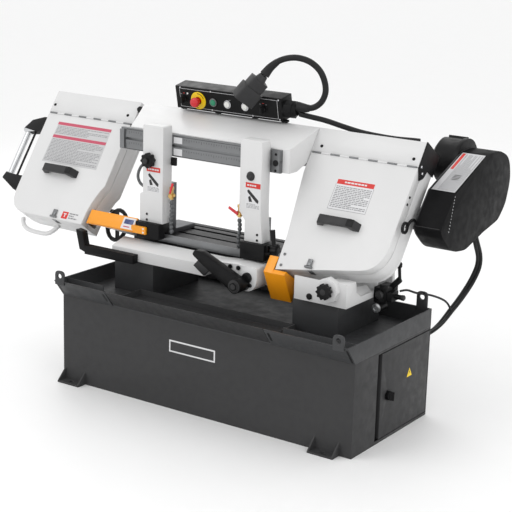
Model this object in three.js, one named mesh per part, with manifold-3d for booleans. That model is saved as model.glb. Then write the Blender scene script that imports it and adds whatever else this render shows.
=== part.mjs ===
// Horizontal metal-cutting band saw on a cabinet stand.
// Millimetres, +X to the operator's right, +Y to the back, +Z up.
// The origin is the centre of the cabinet's underside.
import * as THREE from 'three';
import { mergeVertices } from 'three/addons/utils/BufferGeometryUtils.js';
import Module from 'manifold-3d';

const wasm = await Module();
wasm.setup();

// ---------------------------------------------------------------- driving dimensions

const GAP = 0.3;                     // clearance between neighbouring pieces
const SHEET = 3;                     // sheet-metal thickness of the covers

const CABINET = { x: 565, y: 235, height: 297, wall: 4 };
const DOOR = { front: -75, back: 227, low: 13, high: 287, depth: 20, reveal: 22 };
const FOOT = { width: 90, reach: 38, thick: 6, gusset: 45, hole: 7 };
const TRAY = { floor: 297.3, top: 357, flare: 46, wall: 4, inner: -219 };
const PAN = { left: -349, right: 265, back: -95 };
const LUG = { width: 38, hole: 9 };

const BED = { left: -464, right: 140, front: -105, bottom: 412, ridge: 459, back: 150 };
const TABLE = { left: -455, right: 150, front: 0.5, back: 268, bottom: 462, top: 478 };
const BLADE_Y = -22.3;               // blade line between the guides
const BASE_LEFT = 262;               // left end of the pivot base casting
const PIVOT = { x: 415, z: 480, shaft: 16 };   // axis the head swings up about, along Y

const TILT = THREE.MathUtils.degToRad(55);     // wheel plane, from horizontal
const FACE = 357.6;                  // distance of the lids' outer plane from the origin
const COVER = { depth: 88, top: 840, hinge: 754, lidDepth: 35 };
const WHEEL = { v: 560, left: -768, right: 350, rim: 167.4, z: -56, width: 28 };
const AXLE = 18;                     // radius of the idler axle and the drive shaft
const BLADE = { width: 27, thick: 1.2, seat: 0.6, twistFrom: -590, twistTo: 262 };

const RAIL = { left: -514, right: 127, low: 767, high: 840, front: 3, back: 15 };
const COLUMN = { front: -45, top: 870, bottom: 545 };
const GUIDE_BLOCK = { front: -60, low: 492, high: 544.7 };

const BELT_CASE = { back: 560, face: 650 };
const MOTOR = { y: 440, z: 795, radius: 78 };
const WORM = { y: 195, z: 650, radius: 36 };
const BOX_TILT = THREE.MathUtils.degToRad(12);

// ---------------------------------------------------------------- solids

function solid(geometry) {
  let plain = geometry.clone();
  plain.deleteAttribute('normal');
  plain.deleteAttribute('uv');
  plain = mergeVertices(plain, 1e-4);
  const mesh = new wasm.Mesh({
    numProp: 3,
    vertProperties: new Float32Array(plain.attributes.position.array),
    triVerts: new Uint32Array(plain.index.array),
  });
  return new wasm.Manifold(mesh);
}

function surface(manifold) {
  const mesh = manifold.getMesh();
  const geometry = new THREE.BufferGeometry();
  geometry.setAttribute('position', new THREE.BufferAttribute(new Float32Array(mesh.vertProperties), 3));
  geometry.setIndex(new THREE.BufferAttribute(new Uint32Array(mesh.triVerts), 1));
  return geometry;
}

function join(...geometries) {
  return surface(geometries.map(solid).reduce((sum, next) => sum.add(next)));
}

function cut(base, ...tools) {
  return surface(tools.map(solid).reduce((rest, tool) => rest.subtract(tool), solid(base)));
}

function block(x0, x1, y0, y1, z0, z1) {
  const geometry = new THREE.BoxGeometry(x1 - x0, y1 - y0, z1 - z0);
  return geometry.translate((x0 + x1) / 2, (y0 + y1) / 2, (z0 + z1) / 2);
}

// A round bar between two points.
function bar(from, to, radius, sides = 16, endRadius = radius) {
  const start = new THREE.Vector3(...from);
  const end = new THREE.Vector3(...to);
  const along = end.clone().sub(start);
  const geometry = new THREE.CylinderGeometry(endRadius, radius, along.length(), sides);
  const turn = new THREE.Quaternion().setFromUnitVectors(new THREE.Vector3(0, 1, 0), along.normalize());
  geometry.applyQuaternion(turn);
  return geometry.translate(...start.add(end).multiplyScalar(0.5).toArray());
}

// A closed outline whose corners are [x, y] or [x, y, radius].
function outline(corners) {
  const shape = new THREE.Shape();
  corners.forEach(([x, y, radius = 0], i) => {
    const here = new THREE.Vector2(x, y);
    const before = new THREE.Vector2(...corners.at(i - 1).slice(0, 2));
    const after = new THREE.Vector2(...corners[(i + 1) % corners.length].slice(0, 2));
    const start = here.clone().add(before.sub(here).setLength(radius));
    const end = here.clone().add(after.sub(here).setLength(radius));
    if (i === 0) {
      shape.moveTo(start.x, start.y);
    } else {
      shape.lineTo(start.x, start.y);
    }
    if (radius > 0) {
      shape.quadraticCurveTo(x, y, end.x, end.y);
    }
  });
  return shape;
}

function extrude(shape, depth, curveSegments) {
  return new THREE.ExtrudeGeometry(shape, { depth, bevelEnabled: false, curveSegments });
}

// Prisms: the outline is drawn in the two other axes, in alphabetical order.
function alongX(corners, x0, x1, curveSegments = 4) {
  const geometry = extrude(outline(corners), x1 - x0, curveSegments);
  const axes = new THREE.Matrix4().makeBasis(
    new THREE.Vector3(0, 1, 0), new THREE.Vector3(0, 0, 1), new THREE.Vector3(1, 0, 0));
  return geometry.applyMatrix4(axes).translate(x0, 0, 0);
}

function alongY(corners, y0, y1, curveSegments = 4) {
  const geometry = extrude(outline(corners), y1 - y0, curveSegments);
  return geometry.rotateX(Math.PI / 2).translate(0, y1, 0);
}

function alongZ(corners, z0, z1, curveSegments = 4) {
  return extrude(outline(corners), z1 - z0, curveSegments).translate(0, 0, z0);
}

function tube(points, radius, steps, sides = 8) {
  const curve = new THREE.CatmullRomCurve3(points.map((p) => new THREE.Vector3(...p)));
  const section = new THREE.Shape();
  for (let i = 0; i < sides; i += 1) {
    const angle = (2 * Math.PI * i) / sides;
    const x = radius * Math.cos(angle);
    const y = radius * Math.sin(angle);
    if (i === 0) {
      section.moveTo(x, y);
    } else {
      section.lineTo(x, y);
    }
  }
  return new THREE.ExtrudeGeometry(section, { steps, extrudePath: curve, bevelEnabled: false });
}

// A star knob on the Z axis, from z = 0 upwards.
function starKnob(radius, height, lobes) {
  const shape = new THREE.Shape();
  const points = lobes * 4;
  for (let i = 0; i < points; i += 1) {
    const angle = (2 * Math.PI * i) / points;
    const reach = radius * (i % 4 < 2 ? 1 : 0.84);
    if (i === 0) {
      shape.moveTo(reach, 0);
    } else {
      shape.lineTo(reach * Math.cos(angle), reach * Math.sin(angle));
    }
  }
  return extrude(shape, height, 1);
}

// ---------------------------------------------------------------- scene graph

const paint = {
  white: { color: 0xdedede, roughness: 0.45, metalness: 0.0 },
  grey: { color: 0x424243, roughness: 0.55, metalness: 0.0 },
  black: { color: 0x161617, roughness: 0.5, metalness: 0.0 },
  orange: { color: 0xe8920f, roughness: 0.45, metalness: 0.0 },
  iron: { color: 0x3c3c3d, roughness: 0.5, metalness: 0.6 },
  steel: { color: 0x9a9c9e, roughness: 0.35, metalness: 0.9 },
  aluminium: { color: 0xc9cacb, roughness: 0.35, metalness: 0.9 },
  red: { color: 0xc8202c, roughness: 0.4, metalness: 0.0 },
  green: { color: 0x2f7d5d, roughness: 0.4, metalness: 0.0 },
  cap: { color: 0xe6e6e4, roughness: 0.35, metalness: 0.0 },
  rubber: { color: 0x1b1b1c, roughness: 0.75, metalness: 0.0 },
};

const saw = new THREE.Group();
const wheelPlane = new THREE.Group();          // local x, v up the slope, z out of the lids
wheelPlane.rotation.x = TILT;
wheelPlane.position.set(0, -FACE * Math.sin(TILT), FACE * Math.cos(TILT));
wheelPlane.updateMatrix();
saw.add(wheelPlane);

function add(name, geometry, finish, parent = saw) {
  const mesh = new THREE.Mesh(geometry, new THREE.MeshStandardMaterial(paint[finish]));
  mesh.name = name;
  parent.add(mesh);
  return mesh;
}

function toWorld(geometry) {
  return geometry.applyMatrix4(wheelPlane.matrix);
}

// ---------------------------------------------------------------- cabinet and tray

function foot(centre, side) {
  const half = FOOT.width / 2;
  const wallY = side * CABINET.y;
  const tipY = side * (CABINET.y + FOOT.reach);
  const lowY = Math.min(wallY, tipY);
  const highY = Math.max(wallY, tipY);
  const gusset = [[wallY - side * 2, 0], [tipY, 0], [tipY, FOOT.thick], [wallY - side * 2, FOOT.gusset]];
  const plate = cut(
    block(centre - half, centre + half, lowY - (side > 0 ? 2 : 0), highY + (side > 0 ? 0 : 2), 0, FOOT.thick),
    bar([centre, wallY + side * 20, -1], [centre, wallY + side * 20, 10], FOOT.hole, 16));
  return join(plate,
    alongX(gusset, centre - half, centre - half + 5),
    alongX(gusset, centre + half - 5, centre + half));
}

function cabinet() {
  const { x, y, height, wall } = CABINET;
  const shell = cut(
    block(-x, x, -y, y, 0, height),
    block(-x + wall, x - wall, -y + wall, y - wall, wall, height - wall),
    block(x - 2 * wall, x + 1, DOOR.front - DOOR.reveal, DOOR.back + 3, DOOR.low - 3, DOOR.high + 3));
  const feet = [-515, 478].flatMap((centre) => [foot(centre, -1), foot(centre, 1)]);
  return join(shell, ...feet);
}

function door() {
  const outer = block(CABINET.x - DOOR.depth, CABINET.x + 1, DOOR.front, DOOR.back, DOOR.low, DOOR.high);
  const inner = block(CABINET.x - DOOR.depth - 1, CABINET.x - 2, DOOR.front + 3, DOOR.back - 3,
    DOOR.low + 3, DOOR.high - 3);
  const latchHole = bar([CABINET.x - 10, -32, 144], [CABINET.x + 5, -32, 144], 6, 16);
  return cut(outer, inner, latchHole);
}

function latch() {
  return join(
    bar([CABINET.x - 12, -32, 144], [CABINET.x + 4, -32, 144], 5.5, 16),
    bar([CABINET.x + 1.4, -32, 144], [CABINET.x + 14, -32, 144], 15, 20),
    block(CABINET.x + 12, CABINET.x + 26, -36, -28, 131, 157));
}

function lug(x, y, low, high) {
  const half = LUG.width / 2;
  const plate = alongY([[x - half, low], [x + half, low], [x + half, high, 14], [x - half, high, 14]],
    y - 3, y + 3);
  return cut(plate, bar([x, y - 5, high - 18], [x, y + 5, high - 18], LUG.hole, 16));
}

// The sloping front lip, as a strip between two X positions.
function lip(x0, x1, low) {
  const { y } = CABINET;
  return alongX([[-y, low], [-y - TRAY.flare, TRAY.top], [-y - TRAY.flare + 5, TRAY.top],
    [-y + 5, low]], x0, x1);
}

function tray() {
  const { x, y } = CABINET;
  const { floor, top, wall, inner } = TRAY;
  const side = [[-y, floor], [y, floor], [y, top], [-y - TRAY.flare, top]];
  const pieces = [
    block(-x, x, -y, y, floor, floor + wall),
    block(-x, x, y - wall, y, floor, top),
    alongX(side, -x, -x + wall),
    alongX(side, x - wall, x),
    lip(-x, PAN.left - 3, floor),
    lip(PAN.right + 3, x, floor),
    block(-x + 1, -405, inner, inner + 3, floor + 1, top - 4),
    block(300, x - 1, inner, inner + 3, floor + 1, top - 4),
    lug(-541, -y - TRAY.flare + 3, 345, 392),
    lug(531, -y - TRAY.flare + 3, 345, 392),
    lug(-531, y - 3, 345, 408),
    lug(531, y - 3, 345, 408),
  ];
  return join(...pieces);
}

function swarfPan() {
  const low = TRAY.floor + TRAY.wall + GAP;
  const { y } = CABINET;
  const end = [[-y + 1, low], [PAN.back, low], [PAN.back, low + 24], [-y - 12, low + 24]];
  return join(
    lip(PAN.left, PAN.right, low),
    block(PAN.left, PAN.right, -y + 1, PAN.back, low, low + 3),
    block(PAN.left, PAN.right, PAN.back - 3, PAN.back, low, low + 24),
    alongX(end, PAN.left, PAN.left + 3),
    alongX(end, PAN.right - 3, PAN.right));
}

function pedestal(x0, x1) {
  const low = TRAY.floor + TRAY.wall + GAP;
  const high = BED.bottom - GAP;
  return cut(
    block(x0, x1, -75, 180, low, high),
    block(x0 + 6, x1 - 6, -69, 174, low - 1, high - 8),
    block(x0 - 1, x0 + 10, -45, 150, low - 1, high - 20));
}

add('cabinet', cabinet(), 'grey');
add('cabinet_door', door(), 'grey');
add('door_latch', latch(), 'black');
add('chip_tray', tray(), 'grey');
add('swarf_pan', swarfPan(), 'grey');
add('left_pedestal', pedestal(-476, -312), 'grey');
add('right_pedestal', pedestal(240, 405), 'grey');

// ---------------------------------------------------------------- bed, table and vise

const SCREW = { y: 195, z: 436, radius: 8, wheelX: -690, end: -5 };
const JAW_FACE = -358;

function bed() {
  const { left, right, front, bottom, ridge, back } = BED;
  const ledge = cut(
    alongX([[front, bottom + 8], [-38, bottom + 8], [-38, 477], [-46, 477], [front, ridge]], left, -45),
    alongY([[-92, 400], [-40, 400], [-40, 482], [-44, 482]], front - 5, -35));
  const main = alongX([[-40, bottom], [back, bottom], [back, TABLE.bottom - GAP],
    [-2, TABLE.bottom - GAP], [-2, 440], [-36, 440], [-36, 477], [-40, 477]], left, right);
  const bridge = block(right - 5, BASE_LEFT - GAP, 20, back, bottom, 446);
  const bearing = cut(
    block(left, left + 30, back - 5, 225, 418, TABLE.bottom - GAP),
    bar([left - 5, SCREW.y, SCREW.z], [left + 40, SCREW.y, SCREW.z], SCREW.radius + 0.8, 20));
  return join(ledge, main, bridge, bearing);
}

function table() {
  const { left, right, front, back, bottom, top } = TABLE;
  return cut(
    block(left, right, front, back, bottom, top),
    block(left - 1, right + 1, 120, 134, top - 9, top + 1),
    block(left - 1, right + 1, 232, 244, top - 9, top + 1),
    block(left + 12, 2, SCREW.y - 9, SCREW.y + 9, bottom - 1, top + 1));
}

// The jaw, its sole on the table and the nut under it that rides on the screw.
function movingJaw() {
  const jaw = join(
    block(JAW_FACE - 20, JAW_FACE, 8, 108, TABLE.top + GAP, 655),
    block(JAW_FACE - 74, JAW_FACE, 8, 215, TABLE.top + GAP, 494),
    alongY([[JAW_FACE - 70, 490], [JAW_FACE - 15, 490], [JAW_FACE - 15, 600]], 50, 66),
    block(JAW_FACE - 64, JAW_FACE - 20, SCREW.y - 8, SCREW.y + 8, 455, 485),
    block(JAW_FACE - 64, JAW_FACE - 20, SCREW.y - 14, SCREW.y + 14, 420, TABLE.bottom - GAP));
  return cut(jaw, bar([-500, SCREW.y, SCREW.z], [-300, SCREW.y, SCREW.z], SCREW.radius + 0.6, 20));
}

function fixedJaw() {
  return join(
    block(5, 27, 10, 112, TABLE.top + GAP, 592),
    block(5, 62, 42, 104, TABLE.top + GAP, 494),
    alongY([[20, 490], [60, 490], [20, 570]], 68, 82));
}

function visescrew() {
  const { y, z, radius, wheelX } = SCREW;
  const ring = new THREE.TorusGeometry(54, 8, 6, 20).rotateY(Math.PI / 2).translate(wheelX, y, z);
  return join(
    bar([wheelX - 8, y, z], [SCREW.end, y, z], radius, 16),
    bar([wheelX - 12, y, z], [wheelX + 12, y, z], 17, 20),
    block(wheelX - 4, wheelX + 4, y - 50, y + 50, z - 7, z + 7),
    block(wheelX - 4, wheelX + 4, y - 7, y + 7, z - 50, z + 50),
    bar([wheelX - 5, y, z + 48], [wheelX - 55, y, z + 48], 7, 12),
    ring);
}

// The swivel scale segment that the clamp lever locks.
function swivelSegment() {
  const plate = alongY([[-44.5, 478], [-36, 446, 8], [30, 430], [60, 402, 14], [112, 404, 22],
    [128, 440, 12], [126, 484, 10], [60, 486]], -112, -40 - GAP);
  return cut(plate,
    bar([27, -115, 474], [27, -95, 474], 7, 16),
    bar([58, -115, 474], [58, -95, 474], 7, 16));
}

const CLAMP = { x: 78, z: 428 };

function clampLever() {
  const arm = alongY([[CLAMP.x + 8, CLAMP.z + 24, 12], [CLAMP.x - 24, CLAMP.z - 20, 10],
    [-60, 476, 10], [-96, 500, 8], [-86, 516, 8], [-60, 514, 6]], -152, -128);
  return join(arm,
    bar([CLAMP.x, -165, CLAMP.z], [CLAMP.x, -112 - GAP, CLAMP.z], 24, 18),
    bar([CLAMP.x, -172, CLAMP.z], [CLAMP.x, -164, CLAMP.z], 14, 6));
}

function headStop() {
  return join(
    block(-562, -353, -132, BED.front - GAP, 417, 446),
    alongY([[-584, 430], [-556, 422], [-572, 492], [-600, 497]], -132, BED.front - GAP));
}

add('bed', bed(), 'white');
add('table', table(), 'iron');
add('moving_jaw', movingJaw(), 'black');
add('fixed_jaw', fixedJaw(), 'black');
add('vise_screw', visescrew(), 'black');
add('swivel_segment', swivelSegment(), 'white');
add('clamp_lever', clampLever(), 'black');
add('head_stop', headStop(), 'black');

// ---------------------------------------------------------------- pivot, feed cylinder and valve

const BOSS = { x: 387, z: 462 };
const EARS = [[80, 94], [186, 200]];
const FEED = { x: 339, y: 217, low: 302, pin: 452, travel: 60.5 };

function pivotBase() {
  const { front, bottom } = BED;
  const saddle = alongX([[front, bottom], [200, bottom], [200, 430], [-18, 433], [-66, 465],
    [front, 487]], BASE_LEFT, 449);
  const cheek = cut(
    alongX([[front, bottom], [60, bottom], [60, 449], [-42, 452], [-50, 487], [front, 489]], 385, 449),
    alongY([[416, 454], [450, 424], [460, 424], [460, 500], [416, 500]], -46, 61));
  const ear = [[PIVOT.x - 32, 420], [PIVOT.x + 32, 420], [PIVOT.x + 27, PIVOT.z + 27, 24],
    [PIVOT.x - 27, PIVOT.z + 27, 24]];
  const body = join(saddle, cheek,
    ...EARS.map(([y0, y1]) => alongY(ear, y0, y1)),
    bar([BOSS.x, front - 16, BOSS.z], [BOSS.x, front + 10, BOSS.z], 40, 8),
    bar([PIVOT.x, 76, PIVOT.z], [PIVOT.x, 212, PIVOT.z], PIVOT.shaft, 18),
    bar([PIVOT.x, 70, PIVOT.z], [PIVOT.x, EARS[0][0] + 2, PIVOT.z], 22, 18));
  return cut(body,
    bar([BOSS.x, front - 20, BOSS.z], [BOSS.x, front - 4, BOSS.z], 9.5, 16));
}

function bossKnob() {
  const knob = starKnob(25, 18, 10).rotateX(Math.PI / 2).translate(BOSS.x, BED.front - 20, BOSS.z);
  return join(knob, bar([BOSS.x, BED.front - 25, BOSS.z], [BOSS.x, BED.front - 5, BOSS.z], 9, 16));
}

function feedValve() {
  return join(
    block(449 + GAP, 492, 62, 138, 398, 446),
    block(470, 508, 70, 112, 404, 434),
    bar([478, 72, 440], [478, 72, 456], 13, 16),
    bar([468, 50, 384], [468, 90, 384], 17, 16),
    block(458, 478, 76, 96, 384, 400),
    bar([484, 110, 440], [512, 110, 470], 10, 12),
    bar([512, 110, 466], [508, 110, 512], 5, 12),
    bar([508, 104, 512], [508, 116, 512], 7, 12),
    bar([505, 96, 418], [530, 96, 418], 8, 12));
}

// Upright feed cylinder: the head's pin lifts the slotted eye of its rod.
function feedCylinder() {
  const { x, y, low } = FEED;
  return cut(
    join(bar([x, y, low], [x, y, 398], 13.5, 18), block(x - 30, x + 30, y - 13.5, y + 13.5, low, low + 6)),
    bar([x, y, low + 8], [x, y, 390], 11, 18),
    bar([x, y, 380], [x, y, 400], 6 + GAP, 18));
}

function feedRod() {
  const { x, y, pin } = FEED;
  const slot = alongY([[x - 10, pin - 6, 5], [x + 10, pin - 6, 5], [x + 10, pin + 6, 5], [x - 10, pin + 6, 5]],
    y - 10, y + 10, 4);
  return cut(
    join(
      bar([x, y, 312], [x, y, 326], 11 - GAP, 18),
      bar([x, y, 320], [x, y, pin - 12], 6, 18),
      alongY([[x - 19, pin - 14, 8], [x + 19, pin - 14, 8], [x + 19, pin + 14, 8], [x - 19, pin + 14, 8]],
        y - 5, y + 5, 4)),
    slot);
}

add('pivot_base', pivotBase(), 'white');
add('boss_knob', bossKnob(), 'black');
add('feed_valve', feedValve(), 'black');
add('feed_cylinder', feedCylinder(), 'black');
add('feed_rod', feedRod(), 'steel');

// ---------------------------------------------------------------- wheel covers and lids

const LEFT_LID = [[-960, 752], [-960, 365, 78], [-618, 361], [-617, 412], [-612, 440], [-604, 468],
  [-596, 492], [-585, 512], [-585, 752]];
const LEFT_RIM = LEFT_LID;
const RIGHT_LID = [[155, 752], [154, 684], [180, 462], [183, 346], [514, 402, 46], [537, 472, 18], [537, 752]];
const RIGHT_RIM = [[155, 752], [154, 684], [180, 462], [184, 347], [514, 403, 46], [537, 472, 18], [537, 752]];

// The outline moved inwards by the sheet thickness.
function inset(corners, amount) {
  const points = corners.map(([x, y]) => new THREE.Vector2(x, y));
  const turn = Math.sign(THREE.ShapeUtils.area(points));
  return points.map((here, i) => {
    const into = here.clone().sub(points.at(i - 1)).normalize();
    const away = points[(i + 1) % points.length].clone().sub(here).normalize();
    const normalIn = new THREE.Vector2(-into.y, into.x).multiplyScalar(turn);
    const normalAway = new THREE.Vector2(-away.y, away.x).multiplyScalar(turn);
    const mitre = normalIn.clone().add(normalAway);
    mitre.multiplyScalar(amount / (1 + normalIn.dot(normalAway)));
    const radius = Math.max((corners[i][2] ?? 0) - amount, 0);
    return [here.x + mitre.x, here.y + mitre.y, radius];
  });
}

function lid(corners) {
  const depth = COVER.lidDepth;
  return cut(alongZ(corners, -depth, 0), alongZ(inset(corners, SHEET), -depth - 1, -SHEET));
}

// Fixed rear part of a wheel cover, with slots for the two runs of the blade.
function cover(strip, rim, lidCorners, slotX) {
  const [x0, x1] = strip;
  const [rim0, rim1] = [rim[0][0], rim.at(-1)[0]];
  const low = -COVER.depth;
  const high = -COVER.lidDepth - 2;
  const bridgeLow = COVER.hinge - 6;
  const bridgeHigh = COVER.hinge + 4;
  const hood = cut(
    block(x0, x1, COVER.hinge + 0.8, COVER.top, low, 0),
    block(x0 + SHEET, x1 - SHEET, COVER.hinge - 1, COVER.top - SHEET, low - 1, -SHEET));
  const wall = cut(alongZ(rim, low, high),
    alongZ(inset(rim, SHEET), low - 1, high - 1.6),
    alongZ(inset(lidCorners, SHEET + 2), low - 1, high + 1));
  const shell = join(hood, wall,
    block(Math.min(x0, rim0), Math.max(x0, rim0) + SHEET, bridgeLow, bridgeHigh, low, high),
    block(Math.min(x1, rim1) - SHEET, Math.max(x1, rim1), bridgeLow, bridgeHigh, low, high));
  return cut(shell,
    block(slotX - 25, slotX + 45, 714, 742, -78, high + 1),
    block(slotX - 45, slotX + 45, 378, 406, -78, high + 1));
}

// Arched pull handle, 150 long, standing on the lid's face.
function pullHandle(x, v) {
  const arch = outline([[0, GAP], [22, GAP], [34, 20, 5], [116, 20, 5], [128, GAP], [150, GAP],
    [136, 34, 8], [14, 34, 8]]);
  const geometry = extrude(arch, 26, 3);
  return geometry.rotateX(Math.PI / 2).translate(x, v, 0);
}

// Toggle lever on the lower edge of a lid, lying on its face.
function latchLever(x, v) {
  return join(
    bar([x - 13, v, 4.5], [x + 13, v, 4.5], 4, 12),
    block(x - 8, x + 8, v, v + 26, 3, 6));
}

const GRIP_PATH = [[-936, 364, -67], [-926, 344, -67], [-900, 328, -67], [-840, 322, -67],
  [-800, 326, -67], [-778, 344, -67], [-768, 363, -67]];
const grip = tube(GRIP_PATH, 8, 14);
add('left_cover', join(cover([-960, -577], LEFT_RIM, LEFT_LID, -590), grip), 'white', wheelPlane);
add('right_cover', cover([153, 537], RIGHT_RIM, RIGHT_LID, 170), 'white', wheelPlane);
add('left_lid', lid(LEFT_LID), 'white', wheelPlane);
add('right_lid', lid(RIGHT_LID), 'white', wheelPlane);
add('left_lid_handle', pullHandle(-868, 548), 'black', wheelPlane);
add('right_lid_handle', pullHandle(270, 540), 'black', wheelPlane);
add('left_latch', latchLever(-745, 370), 'steel', wheelPlane);
add('right_latch', latchLever(296, 373), 'steel', wheelPlane);

// ---------------------------------------------------------------- head frame

function backplate(rim, stripLeft, stripRight) {
  const high = -COVER.depth - GAP;
  const low = high - 12;
  return join(
    alongZ(rim, low, high),
    block(stripLeft, stripRight, 745, COVER.top, low, high));
}

function headFrame() {
  const high = -COVER.depth - GAP;
  const low = high - 12;
  const plates = join(
    backplate(LEFT_RIM, -960, -560),
    backplate(RIGHT_RIM, 140, 537),
    block(-600, 180, 786, COVER.top, low, high));
  const axle = bar([WHEEL.left, WHEEL.v, -150], [WHEEL.left, WHEEL.v, WHEEL.z + 18], AXLE, 18);
  const bored = join(axle, cut(plates,
    bar([WHEEL.right, WHEEL.v, low - 5], [WHEEL.right, WHEEL.v, high + 5], 26, 18)));
  const beam = cut(
    alongX([[188.9, 893], [264, 842], [240, 808], [150, 800], [60, 768], [15.3, 768], [15.3, 843]], -560, 152),
    alongZ([[-600, 0], [-476, 0], [-566, 200], [-600, 200]], 760, 900));
  const arm = alongX([[44, 515], [97, 515], [97, 454], [184, 454], [184, 520], [120, 600], [98, 600]],
    PIVOT.x - 30, PIVOT.x + 30);
  const lugHole = bar([PIVOT.x, 90, PIVOT.z], [PIVOT.x, 190, PIVOT.z], PIVOT.shaft + GAP, 18);
  const lift = join(
    block(FEED.x - 12, PIVOT.x - 25, 150, 184, FEED.pin - 8, 482),
    bar([FEED.x + 2, 150, FEED.pin], [FEED.x + 2, FEED.y + 12, FEED.pin], 5, 16));
  return cut(join(toWorld(bored), beam, arm, lift), lugHole);
}

function guideRail() {
  const { left, right, low, high, front, back } = RAIL;
  const slotZ = (low + high) / 2;
  return join(
    cut(block(left, right, front, back, low, high),
      block(left - 1, right + 1, front - 1, front + 6, slotZ - 4, slotZ + 4)),
    block(right - 26, right, front - 8, front + 1, low + 2, high),
    block(left, left + 18, front - 8, front + 1, low + 2, high - 6));
}

function wheel() {
  const { rim, width, z } = WHEEL;
  const low = z - width / 2;
  const high = z + width / 2;
  const half = [[0, low - 10], [28, low - 10], [28, z - 6], [144, z - 6], [144, low], [rim, low],
    [rim, high], [rim + 5, high], [rim + 5, high + 3], [144, high + 3], [144, z + 6], [34, z + 6],
    [34, high + 6], [0, high + 6]];
  const profile = half.map(([r, h]) => new THREE.Vector2(r, h));
  const disc = new THREE.LatheGeometry(profile, 30).rotateX(Math.PI / 2);
  const holes = [];
  for (let i = 0; i < 5; i += 1) {
    const angle = (2 * Math.PI * i) / 5;
    const x = 88 * Math.cos(angle);
    const y = 88 * Math.sin(angle);
    holes.push(bar([x, y, z - 12], [x, y, z + 12], 32, 12));
  }
  return cut(disc, ...holes);
}

function idlerWheel() {
  const { left, v, z } = WHEEL;
  return cut(wheel().translate(left, v, 0), bar([left, v, z - 40], [left, v, z + 40], AXLE + GAP, 18));
}

function driveWheel() {
  const { right, v, z } = WHEEL;
  return join(wheel().translate(right, v, 0), bar([right, v, -150], [right, v, z], AXLE, 18));
}

// The closed band: a loop open below, and the lower run turned upright between the guides.
function blade() {
  const { width, thick, seat, twistFrom, twistTo } = BLADE;
  const inner = WHEEL.rim + seat;
  const outer = inner + thick;
  const low = WHEEL.z - width / 2;
  const { left, right, v } = WHEEL;
  const band = new THREE.Shape();
  band.moveTo(left, v - outer);
  band.absarc(left, v, outer, -Math.PI / 2, Math.PI / 2, true);
  band.absarc(right, v, outer, Math.PI / 2, -Math.PI / 2, true);
  band.lineTo(right, v - inner);
  band.absarc(right, v, inner, -Math.PI / 2, Math.PI / 2, false);
  band.absarc(left, v, inner, Math.PI / 2, -Math.PI / 2, false);
  band.closePath();
  const loop = extrude(band, width, 20).translate(0, 0, low);

  const run = new THREE.BoxGeometry(right - left + 2, thick, width, 56, 1, 1);
  const place = run.attributes.position;
  const point = new THREE.Vector3();
  const lengthwise = new THREE.Vector3(1, 0, 0);
  for (let i = 0; i < place.count; i += 1) {
    point.fromBufferAttribute(place, i);
    const x = point.x + (left + right) / 2;
    const enter = THREE.MathUtils.smoothstep(x, twistFrom + 6, -405);
    const leave = 1 - THREE.MathUtils.smoothstep(x, 125, twistTo - 6);
    point.applyAxisAngle(lengthwise, -TILT * Math.min(enter, leave));
    place.setXYZ(i, x, point.y + v - inner - thick / 2, point.z + WHEEL.z);
  }
  return join(loop, run);
}

function tensionHandle() {
  const from = [WHEEL.left, WHEEL.v, -168];
  return join(
    bar([WHEEL.left, WHEEL.v, -172], [WHEEL.left, WHEEL.v, -150 - GAP], 22, 20),
    bar([WHEEL.left - 70, WHEEL.v, from[2]], [WHEEL.left + 70, WHEEL.v, from[2]], 7, 12),
    bar([WHEEL.left, WHEEL.v - 70, from[2]], [WHEEL.left, WHEEL.v + 70, from[2]], 7, 12));
}

// Lifting bar on the left end, on two angular brackets.
function liftHandle() {
  const wall = LEFT_LID[0][0] - GAP;
  const bracket = (corners) => alongZ(corners, -58, -32);
  return join(
    bracket([[wall, 700], [wall, 748], [-1004, 744], [-1052, 726], [-1077, 688, 4], [-1068, 676, 4],
      [-1020, 684, 6]]),
    bracket([[wall, 508], [wall, 452], [-1006, 452], [-1078, 488, 4], [-1070, 514, 4], [-1030, 508, 6]]),
    bar([-1058, 500, -45], [-1058, 692, -45], 11, 16),
    bar([-1026, 500, -45], [-1026, 692, -45], 4, 8));
}

add('head_frame', headFrame(), 'white');
add('guide_rail', guideRail(), 'steel');
add('idler_wheel', idlerWheel(), 'iron', wheelPlane);
add('drive_wheel', driveWheel(), 'iron', wheelPlane);
add('saw_blade', blade(), 'steel', wheelPlane);
add('tension_handle', tensionHandle(), 'black', wheelPlane);
add('lift_handle', liftHandle(), 'aluminium', wheelPlane);

// ---------------------------------------------------------------- guides and guards

function leftColumn() {
  const { front, top, bottom } = COLUMN;
  return join(
    alongY([[-382, bottom], [-299, bottom], [-299, top, 6], [-382, top, 6]], front, RAIL.front - GAP),
    alongY([[-394, bottom, 10], [-310, bottom], [-310, 648], [-394, 640, 10]], front, -3));
}

function rightColumn() {
  const { front, top } = COLUMN;
  const outline = [[30, COLUMN.bottom], [98, COLUMN.bottom], [89, 640], [89, top, 6], [8, top, 6], [8, 640], [30, 612]];
  return alongY(outline, front, RAIL.front - GAP);
}

function guideBlock(x0, x1, shoulder) {
  const { front, low, high } = GUIDE_BLOCK;
  return cut(
    join(block(x0, x1, front, 0, low, high), shoulder),
    block(x0 - 20, x1 + 40, BLADE_Y - 4, BLADE_Y + 4, low - 1, 512));
}

// Sheet cover over the blade, with a tab that screws to the guide block.
function leftGuard() {
  const sheet = alongX([[374, -8], [425, -8], [425, -60], [422, -60], [422, -11], [374, -11]], -606, -404);
  const tab = block(-412, -352, -68, GUIDE_BLOCK.front - GAP, 505, 530);
  return join(toWorld(sheet), tab);
}

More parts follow.
